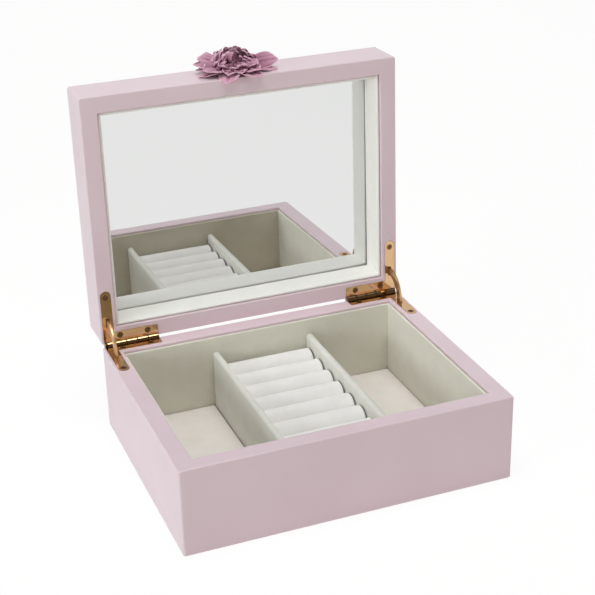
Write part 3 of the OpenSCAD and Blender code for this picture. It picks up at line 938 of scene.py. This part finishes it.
def curl(root_z, width, root_r, wide_r, crest_z, inner_r, rng, painted_light_shift=0.0):
    """A narrow strip that stands up, bulges and bends in over the centre, folded along its length. The last
    argument lightens it as painted light, and darkens it as painted shade where it is below 0."""
    rows, columns = 14, 8
    crest = root_z + (crest_z - root_z) * rng.uniform(0.86, 1.08)
    wide = wide_r * rng.uniform(0.93, 1.05)
    path = (
        (root_r, root_z),
        (wide * 1.14, root_z - 0.5),
        (wide * 1.10, crest + 0.3),
        (inner_r * rng.uniform(0.85, 1.1), crest + rng.uniform(-0.7, 0.7)),
    )
    lean = rng.uniform(-0.22, 0.22)
    hollow = rng.uniform(-0.3, 0.9)
    wave = rng.uniform(0, 6.3)
    # a random tone, plus the painted light and shade given in the last argument
    pale = rng.uniform(0.4, 1.05) + painted_light_shift
    grid = []
    for i in range(rows + 1):
        t = i / rows
        point, tangent = bezier(path, t)
        normal = Vector((-tangent.y, tangent.x))
        share = 0.55 + 0.45 * math.sin(math.pi / 2 * min(1, t / 0.6))
        share *= 1 - 0.55 * max(0, (t - 0.7) / 0.3) ** 2.5
        line = []
        for j in range(columns + 1):
            v = 2 * j / columns - 1
            fold = hollow * (1 - v * v) * math.sin(math.pi * min(1, 0.15 + t * 0.9))
            fold += 0.16 * math.sin(9 * v + wave) + 0.3 * abs(v) ** 3 * math.sin(8 * t + wave + v)
            x, z = point - normal * fold
            y = v * share * width / 2 + lean * (z - root_z) + 0.25 * math.sin(6 * t + wave)
            # deep darkens the strip towards its root, painted shade down in the flower, and stripe paints
            # shade in the flutes of its fold
            deep = 1 - min(1, max(0, (z - root_z) / (crest - root_z)))
            stripe = 0.35 * (0.5 - 0.5 * math.sin(9 * v + wave)) * (1 - abs(v) ** 3)
            line.append((x, y, z, pale * (1 - 0.9 * deep ** 0.8) + 0.15 * t ** 4, 0.85 * deep + stripe))
        grid.append(line)
    return grid


def curl_ring(sheets, root_z, ring, rng):
    """A ring of curls, higher by the lid's top and lower by its rim, so that the hollow shows, with painted
    light on the curls by the lid's top and painted shade on those by its rim.
    """
    count, first, width, root_r, wide_r, crest_z, inner_r = ring
    for i in range(count):
        turn = first + 360 * i / count + rng.uniform(-5, 5)
        side = math.sin(math.radians(turn))
        height = crest_z * (1 + (BACK_RISE if side > 0 else FRONT_FALL) * side)
        bend = inner_r + (wide_r - inner_r) * BACK_STAND * max(0, side)
        broad = width * rng.uniform(0.85, 1.12)
        sheets.add(curl(root_z, broad, root_r, wide_r, height, bend, rng, SIDE_PAINTED_LIGHT * side), turn)


def drooping_petal(rng):
    """The petal that hangs over the lid's edge."""
    grid, turn = petal(DROOPING_PETAL, OUTER_Z, rng, 0.35)
    bent = []
    for i, row in enumerate(grid):
        drop = DROOP * max(0, i / (len(grid) - 1) - 0.55) / 0.45
        bent.append([(x, y, z - drop * min(1, drop / 1.5), reach, fold) for x, y, z, reach, fold in row])
    sheets = Sheets()
    sheets.add(bent, turn)
    obj = sheets.piece("drooping_petal", "flower_outer_petals")
    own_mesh(obj)


def flower():
    """Two layers of broad petals, a few short ones, and three rings of curls round a hollow centre."""
    rng = random.Random(7)
    outer, middle, ring, centre = Sheets(), Sheets(), Sheets(), Sheets()
    for shape in OUTER_PETALS:
        outer.add(*petal(shape, OUTER_Z, rng))
    for shape in MIDDLE_PETALS:
        middle.add(*petal(shape, MIDDLE_Z, rng))
    for shape in SHORT_PETALS:
        ring.add(*petal(shape, MIDDLE_Z + 0.6, rng))
    for curls in CURL_RINGS:
        curl_ring(ring, MIDDLE_Z, curls, rng)
    curl_ring(centre, MIDDLE_Z + 2, CENTRE_RING, rng)
    centre.add(curl(MIDDLE_Z + 2, *CENTRE_LIP[1:], rng), CENTRE_LIP[0])
    outer.piece("outer_petals", "flower_outer_petals")
    middle.piece("middle_petals", "flower_middle_petals")
    ring.piece("inner_curls", "flower_inner_curls")
    centre.piece("centre_curls", "flower_centre_curls")
    drooping_petal(rng)


# The pieces

base_shell()
lid_shell()
for number, name in enumerate(("front", "back", "left", "right")):
    run = CARD_RUN if name in ("left", "right") else 0
    drop = LEFT_CARD_DROP if name == "left" else 0
    # the front card takes the darker copy, painted shade
    material = SHADED_LINING if name == "front" else LINING
    covered_board(f"base_lining_{name}", "base", CARD_EDGE_R, number, STILL, material, run, drop)
    # the lid's cards take the paler copy, painted light
    covered_board(f"lid_lining_{name}", "lid", CARD_EDGE_R, number + 4, OPEN, LID_LINING, run, MIRROR_GAP)
for number, name in enumerate(("left", "right")):
    # the dividers take the darker copy, painted shade
    covered_board(f"divider_{name}", "base", DIVIDER_EDGE_R, number + 8, STILL, DIVIDER)
    floor_pad(f"floor_pad_{name}", number + 10)
    hinge_part(f"hinge_leaf_base_{name}", "base", LEAF_EDGE_R)
    hinge_part(f"hinge_leaf_lid_{name}", "lid", LEAF_EDGE_R)
    hinge_part(f"hinge_pin_{name}", "base", PIN_EDGE_R)
    hinge_part(f"stay_{name}", f"{name}_stay", PIN_EDGE_R, SATIN_BRASS)
covered_board("ring_roll_block", "base", BLOCK_EDGE_R, 12)
for number in range(1, 9):
    ring_roll(number)
hinge_part("base_hinge_screws", "base", SCREW_EDGE_R, SCREWS)
hinge_part("lid_hinge_screws", "lid", SCREW_EDGE_R, SCREWS)
mirror_glass()
flower()
disc = clone("backing_disc", "flower_backing_disc", DISC_EDGE_R)
finish_piece(disc, "lid", PETAL, "petal_suede", "flower_backing_disc")
for node, material in (("base_bottom_board", LACQUER), ("mirror_backing_card", CARD)):
    frame["nodes"][node].material_slots[0].material = material


# Floor, light and camera

WORLD_LEVEL = 0.16
WORLD_COLOUR = (1, 0.985, 0.97, 1)
BACKDROP_LEVEL = 1.0
FLOOR_HALF = 8
FLOOR_COLOUR = (0.84, 0.8, 0.78, 1)
FLOOR_GLOW = 1.05
FLOOR_GLOW_SHARE = 0.86
# The sine of the height above the horizon, and how light polished metal sees the world there
DARK_BAND = ((0.0, 0.96), (0.42, 0.92), (0.55, 0.16), (0.9, 0.12), (1.0, 0.5))
COOLER = (0.93, 0.965, 1)
COOL = (0.97, 0.985, 1)
WARM = (1, 0.95, 0.86)
# A lamp is its name, place and size in metres, power in watts, colour, and whether polished metal shows it
LAMPS = (
    ("key", (-0.15, -0.13, 1.7), 1.2, 16.8, COOL, True),
    ("left", (-2.05, -0.65, 0.6), 0.9, 18, COOLER, False),
    ("front", (0.2, -1.9, 0.22), 0.6, 3.3, WARM, False),
    ("back", (0.6, 2.3, 0.7), 0.9, 9, COOL, False),
    ("right", (2.2, 0.1, 0.6), 0.9, 8, COOL, False),
)
LAMP_TARGET = Vector((0, 0, 0.08))


def seen_directly(tree):
    """1 for camera, glossy and transmission rays, and 0 for the light that falls on things."""
    rays = tree.nodes.new("ShaderNodeLightPath")
    total = rays.outputs["Is Camera Ray"]
    for name in ("Is Glossy Ray", "Is Transmission Ray"):
        total = math_node(tree, "MAXIMUM", total, rays.outputs[name])
    return total


def mix_shaders(tree, factor, first, second):
    """A mix of the first outputs of two shader nodes."""
    mix = tree.nodes.new("ShaderNodeMixShader")
    for value, socket in zip((factor, first.outputs[0], second.outputs[0]), mix.inputs):
        tree.links.new(value, socket)
    return mix.outputs[0]


def make_world():
    """Even light, with a white surround that polished metal sees broken by a dark band above the horizon."""
    world = bpy.data.worlds.new("studio")
    bpy.context.scene.world = world
    world.use_nodes = True
    tree = world.node_tree
    light = tree.nodes["Background"]
    light.inputs["Color"].default_value = WORLD_COLOUR
    light.inputs["Strength"].default_value = WORLD_LEVEL
    place = tree.nodes.new("ShaderNodeTexCoord")
    split = tree.nodes.new("ShaderNodeSeparateXYZ")
    tree.links.new(place.outputs["Generated"], split.inputs[0])
    band = colour_ramp(tree, split.outputs["Z"], [(height, grey(level)) for height, level in DARK_BAND])
    rays = tree.nodes.new("ShaderNodeLightPath")
    in_metal = math_node(tree, "GREATER_THAN", rays.outputs["Is Glossy Ray"], rays.outputs["Diffuse Depth"])
    white = tree.nodes.new("ShaderNodeBackground")
    white.inputs["Strength"].default_value = BACKDROP_LEVEL
    tree.links.new(mix_colours(tree, in_metal, grey(1), band), white.inputs["Color"])
    surface = mix_shaders(tree, seen_directly(tree), light, white)
    tree.links.new(surface, tree.nodes["World Output"].inputs["Surface"])


def make_floor():
    """A pale floor that looks white, keeps a soft shadow and bounces plain light."""
    mesh = bpy.data.meshes.new("floor")
    corners = [(x * FLOOR_HALF, y * FLOOR_HALF, 0) for x, y in ((-1, -1), (1, -1), (1, 1), (-1, 1))]
    mesh.from_pydata(corners, [], [(0, 1, 2, 3)])
    floor = bpy.data.objects.new("floor", mesh)
    bpy.context.scene.collection.objects.link(floor)
    material = bpy.data.materials.new("floor")
    material.use_nodes = True
    tree = material.node_tree
    tree.nodes.remove(tree.nodes["Principled BSDF"])
    diffuse = tree.nodes.new("ShaderNodeBsdfDiffuse")
    diffuse.inputs["Color"].default_value = FLOOR_COLOUR
    glow = tree.nodes.new("ShaderNodeEmission")
    glow.inputs["Strength"].default_value = FLOOR_GLOW
    share = math_node(tree, "MULTIPLY", seen_directly(tree), FLOOR_GLOW_SHARE)
    surface = mix_shaders(tree, share, diffuse, glow)
    tree.links.new(surface, tree.nodes["Material Output"].inputs["Surface"])
    mesh.materials.append(material)


def area_light(name, place, size, power, colour, glossy):
    """A round soft lamp aimed at the box."""
    data = bpy.data.lights.new(name, "AREA")
    data.shape = "DISK"
    data.size = size
    data.energy = power
    data.color = colour
    lamp = bpy.data.objects.new(name, data)
    lamp.visible_glossy = glossy
    lamp.location = place
    lamp.rotation_euler = (LAMP_TARGET - Vector(place)).to_track_quat("-Z", "Y").to_euler()
    bpy.context.scene.collection.objects.link(lamp)


def make_camera():
    data = bpy.data.cameras.new("camera")
    data.lens = LENS
    data.clip_start, data.clip_end = 0.05, 50
    camera = bpy.data.objects.new("camera", data)
    forward = Vector(CAMERA_FORWARD).normalized()
    up = Vector(CAMERA_RIGHT).cross(forward).normalized()
    right = forward.cross(up)
    turn = Matrix((right, up, -forward)).transposed().to_4x4()
    camera.matrix_world = Matrix.Translation(CAMERA_PLACE) @ turn
    bpy.context.scene.collection.objects.link(camera)
    bpy.context.scene.camera = camera


make_world()
make_floor()
for lamp in LAMPS:
    area_light(*lamp)
make_camera()
bpy.context.scene.view_settings.view_transform = "Standard"
